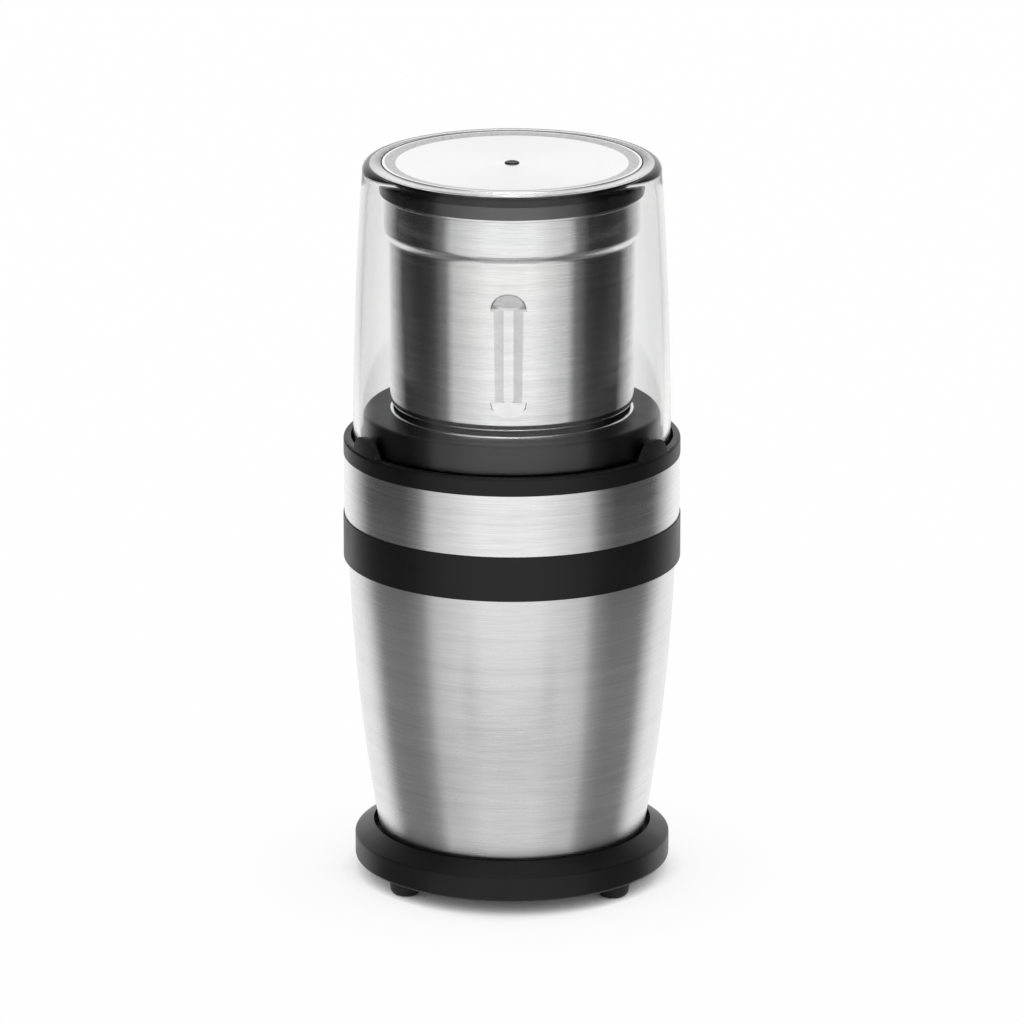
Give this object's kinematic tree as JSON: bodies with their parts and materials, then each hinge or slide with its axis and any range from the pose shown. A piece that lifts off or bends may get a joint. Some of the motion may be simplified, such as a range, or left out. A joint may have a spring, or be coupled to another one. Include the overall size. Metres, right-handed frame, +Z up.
{
  "type": "wet and dry grinder",
  "caption": "Upright electric wet and dry grinder: steel-clad motor base, black collar, lift-out fluted steel cup with a blade, and a clear lid pressed to run it.",
  "frame": {"origin": "on the table under the middle of the body", "axes": "+Z up along the motor shaft, -Y towards the front, +Y towards the cord inlet"},
  "size_m": [0.108, 0.108, 0.235],
  "materials": {
    "clear_plastic": "clear, polished",
    "black_plastic": "satin moulded black",
    "satin_steel": "brushed round the body",
    "polished_steel": "polished stainless steel",
    "silicone": "matt black",
    "zinc_steel": "zinc plated",
    "lamination": "stacked sheet, varnished",
    "copper": "enamelled copper",
    "bronze": "sintered bronze",
    "cast_aluminium": "die cast",
    "carbon": "graphite block"
  },
  "bodies": {
    "base": {"top_collar": "black_plastic", "seat_ring": "polished_steel", "shaft_seal": "silicone", "upper_sleeve": "satin_steel", "mid_band": "black_plastic", "lower_shell": "satin_steel", "base_disc": "black_plastic", "cord_gland": "black_plastic", "base_screws": "zinc_steel", "collar_screws": "zinc_steel", "inner_housing": "black_plastic", "stator_core": "lamination", "field_coils": "copper", "upper_bracket": "cast_aluminium", "lower_bracket": "cast_aluminium", "upper_bearing": "bronze", "lower_bearing": "bronze", "motor_mounts": "silicone", "motor_bolts": "zinc_steel", "brush_holders": "black_plastic", "carbon_brushes": "carbon", "micro_switch": "black_plastic", "return_spring": "zinc_steel", "rubber_foot_1": "silicone", "rubber_foot_2": "silicone", "rubber_foot_3": "silicone", "rubber_foot_4": "silicone"},
    "rotor": {"motor_shaft": "zinc_steel", "armature_core": "lamination", "armature_windings": "copper", "commutator": "copper", "cooling_fan": "black_plastic", "drive_coupling": "silicone"},
    "cup": {"cup_shell": "polished_steel", "cup_base": "black_plastic", "blade_bush": "bronze", "blade_lip_seal": "silicone"},
    "blade": {"blade": "polished_steel", "blade_shaft": "polished_steel", "blade_cap_nut": "polished_steel", "cup_coupling": "silicone"},
    "seal": {"lid_seal": "silicone"},
    "lid": {"clear_lid": "clear_plastic", "lid_cap": "black_plastic", "lid_top_plate": "satin_steel", "lid_centre_stud": "black_plastic"},
    "push_rod": {"push_rod": "black_plastic", "switch_plunger": "black_plastic"}
  },
  "joints": [
    {"name": "cup_lift", "type": "slide", "parent": "base", "child": "cup", "axis": [0, 0, 1], "range_m": [0, 0.06]},
    {"name": "lid_lift", "type": "slide", "parent": "cup", "child": "seal", "axis": [0, 0, 1], "range_m": [0, 0.095]},
    {"name": "lid_press", "type": "slide", "parent": "seal", "child": "lid", "axis": [0, 0, 1], "range_m": [-0.002, 0], "stiffness_N_per_m": 3000, "springref_m": 0.0008, "deforming": ["lid_seal"]},
    {"name": "push_rod_slide", "type": "slide", "parent": "base", "child": "push_rod", "axis": [0, 0, 1], "range_m": [-0.002, 0], "deforming": ["return_spring"]},
    {"name": "motor_spin", "type": "hinge", "parent": "base", "child": "rotor", "pos_m": [0, 0, 0.08], "axis": [0, 0, 1], "continuous": true},
    {"name": "blade_spin", "type": "hinge", "parent": "cup", "child": "blade", "pos_m": [0, 0, 0.16], "axis": [0, 0, 1], "continuous": true}
  ],
  "couplings": [
    {"joint": "push_rod_slide", "follows": "lid_press", "ratio": 1},
    {"joint": "blade_spin", "follows": "motor_spin", "ratio": 1}
  ]
}
